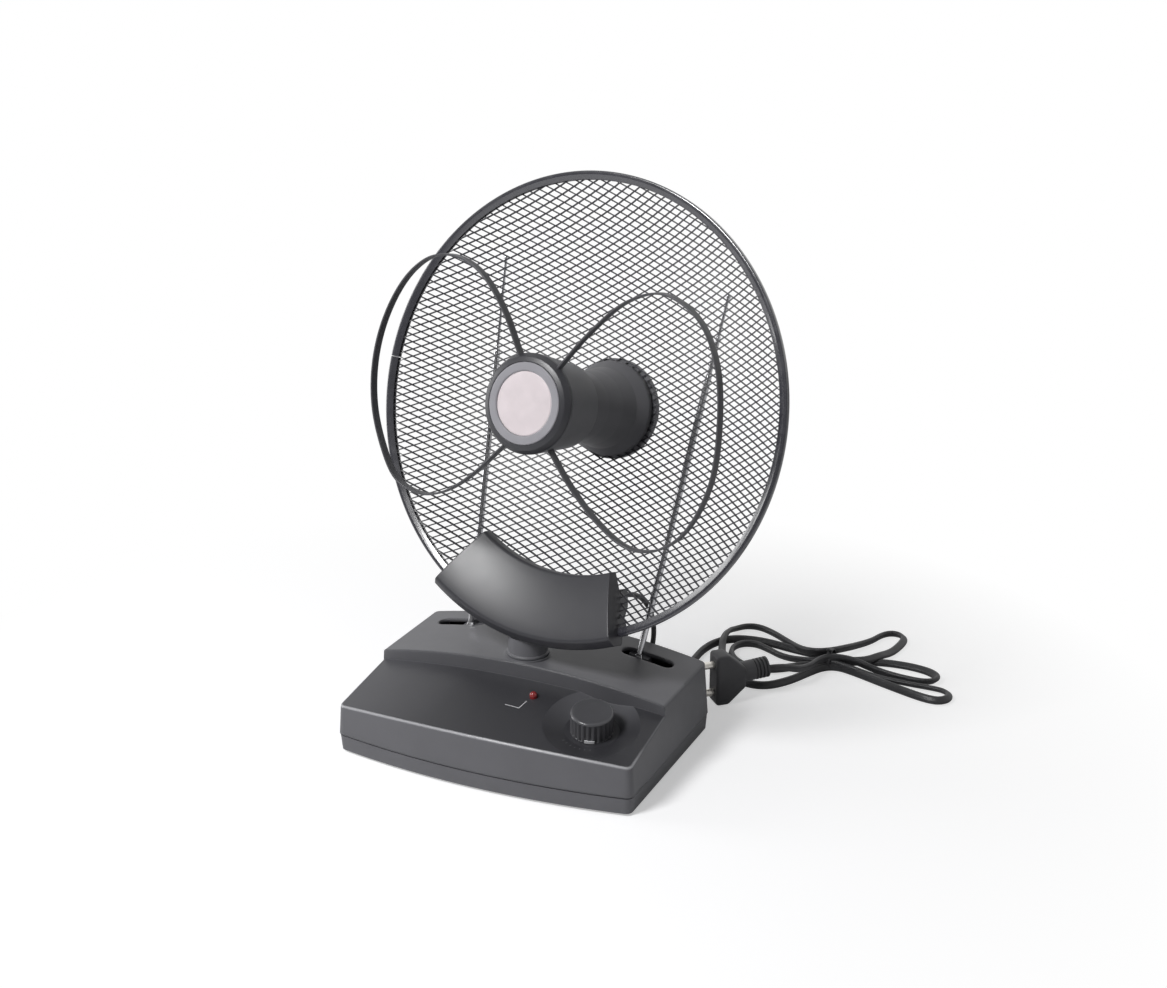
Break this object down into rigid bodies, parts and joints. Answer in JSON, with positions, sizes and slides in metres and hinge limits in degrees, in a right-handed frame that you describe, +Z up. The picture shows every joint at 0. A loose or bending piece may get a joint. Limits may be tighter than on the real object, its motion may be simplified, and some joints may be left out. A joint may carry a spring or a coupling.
{
  "type": "indoor antenna",
  "caption": "Amplified indoor antenna: a mesh dish with a feed head and ribbon loops swivels on a wedge base with a gain knob, telescopic rods, mains cord and plug.",
  "frame": {"origin": "on the table under the middle of the base, on the centre foot's underside", "axes": "X to the right seen from the front, Y to the back, Z up"},
  "size_m": [0.3449, 0.3102, 0.3353],
  "materials": {
    "housing_plastic": "fine-grained black moulded plastic",
    "knob_plastic": "satin black plastic",
    "head_plastic": "satin black moulded plastic",
    "front_disc": "spun pale metal disc",
    "mesh_metal": "black-coated expanded metal",
    "rim_metal": "gloss black channel",
    "loop_metal": "dark grey coated ribbon",
    "rod_metal": "bright plated tube",
    "steel": "plain steel",
    "lamp_red": "clear red lens",
    "board_green": "lacquered board",
    "copper": "enamelled copper wire",
    "insulator_white": "white plastic",
    "foot_rubber": "matt black rubber",
    "cord_rubber": "black cord jacket",
    "plug_plastic": "black moulded plug",
    "pin_metal": "plated pin"
  },
  "bodies": {
    "base": {"base_top_shell": "housing_plastic", "base_bottom_cover": "housing_plastic", "rod_hinge_block_right": "housing_plastic", "rod_hinge_block_left": "housing_plastic", "rubber_feet": "foot_rubber", "housing_screws": "steel", "gain_potentiometer": "steel", "shield_can": "steel", "transformer_core": "steel", "rod_hinge_pin_right": "steel", "rod_hinge_pin_left": "steel", "indicator_lamp": "lamp_red", "smoothing_capacitor": "knob_plastic", "amplifier_board": "board_green", "transformer_winding": "copper", "tv_socket_insulator": "insulator_white", "tv_socket_shell": "pin_metal", "tv_socket_contact": "pin_metal", "plug_pins": "pin_metal", "feed_cable": "cord_rubber", "mains_cord_run": "cord_rubber", "mains_cord_hank": "cord_rubber", "mains_cord_lead": "cord_rubber", "cord_tie": "cord_rubber", "cord_relief": "cord_rubber", "plug_body": "plug_plastic"},
    "knob": {"gain_knob": "knob_plastic", "pot_shaft": "steel"},
    "head": {"swivel_neck": "housing_plastic", "swivel_clip": "housing_plastic", "swivel_screw": "steel", "reflector_rim": "rim_metal", "reflector_mesh": "mesh_metal", "bracket_front": "housing_plastic", "bracket_rear": "housing_plastic", "bracket_screws": "steel", "feed_boom": "head_plastic", "rear_cup": "head_plastic", "boom_screw": "steel", "head_body": "head_plastic", "head_cap": "head_plastic", "head_disc": "front_disc", "balun_board": "board_green", "loop_terminals": "copper", "loop_right": "loop_metal", "loop_left": "loop_metal"},
    "rod_right_outer": {"rod_tongue_right": "rod_metal", "rod_outer_right": "rod_metal"},
    "rod_right_middle": {"rod_middle_right": "rod_metal"},
    "rod_right_tip": {"rod_tip_right": "rod_metal"},
    "rod_left_outer": {"rod_tongue_left": "rod_metal", "rod_outer_left": "rod_metal"},
    "rod_left_middle": {"rod_middle_left": "rod_metal"},
    "rod_left_tip": {"rod_tip_left": "rod_metal"}
  },
  "joints": [
    {"name": "gain_turn", "type": "hinge", "parent": "base", "child": "knob", "pos_m": [0.0594, -0.0332, 0.03882], "axis": [0.0906, -0.1868, 0.9782], "range_deg": [-150, 120]},
    {"name": "dish_swivel", "type": "hinge", "parent": "base", "child": "head", "pos_m": [0, 0.0045, 0.0562], "axis": [0, 0, 1], "range_deg": [-6, 20], "deforming": ["feed_cable"]},
    {"name": "rod_right_tilt", "type": "hinge", "parent": "base", "child": "rod_right_outer", "pos_m": [0.05701, 0.03513, 0.04223], "axis": [0, 0.9272, -0.3746], "range_deg": [-2, 55]},
    {"name": "rod_right_middle_slide", "type": "slide", "parent": "rod_right_outer", "child": "rod_right_middle", "axis": [0.095, 0.3729, 0.923], "range_m": [-0.0237, 0.11]},
    {"name": "rod_right_tip_slide", "type": "slide", "parent": "rod_right_middle", "child": "rod_right_tip", "axis": [0.095, 0.3729, 0.923], "range_m": [-0.0227, 0.11]},
    {"name": "rod_left_tilt", "type": "hinge", "parent": "base", "child": "rod_left_outer", "pos_m": [-0.05701, 0.03513, 0.04223], "axis": [0, -0.9272, 0.3746], "range_deg": [-6, 55]},
    {"name": "rod_left_middle_slide", "type": "slide", "parent": "rod_left_outer", "child": "rod_left_middle", "axis": [-0.0663, 0.3738, 0.9251], "range_m": [-0.0017, 0.132]},
    {"name": "rod_left_tip_slide", "type": "slide", "parent": "rod_left_middle", "child": "rod_left_tip", "axis": [-0.0663, 0.3738, 0.9251], "range_m": [-0.0547, 0.078]}
  ]
}
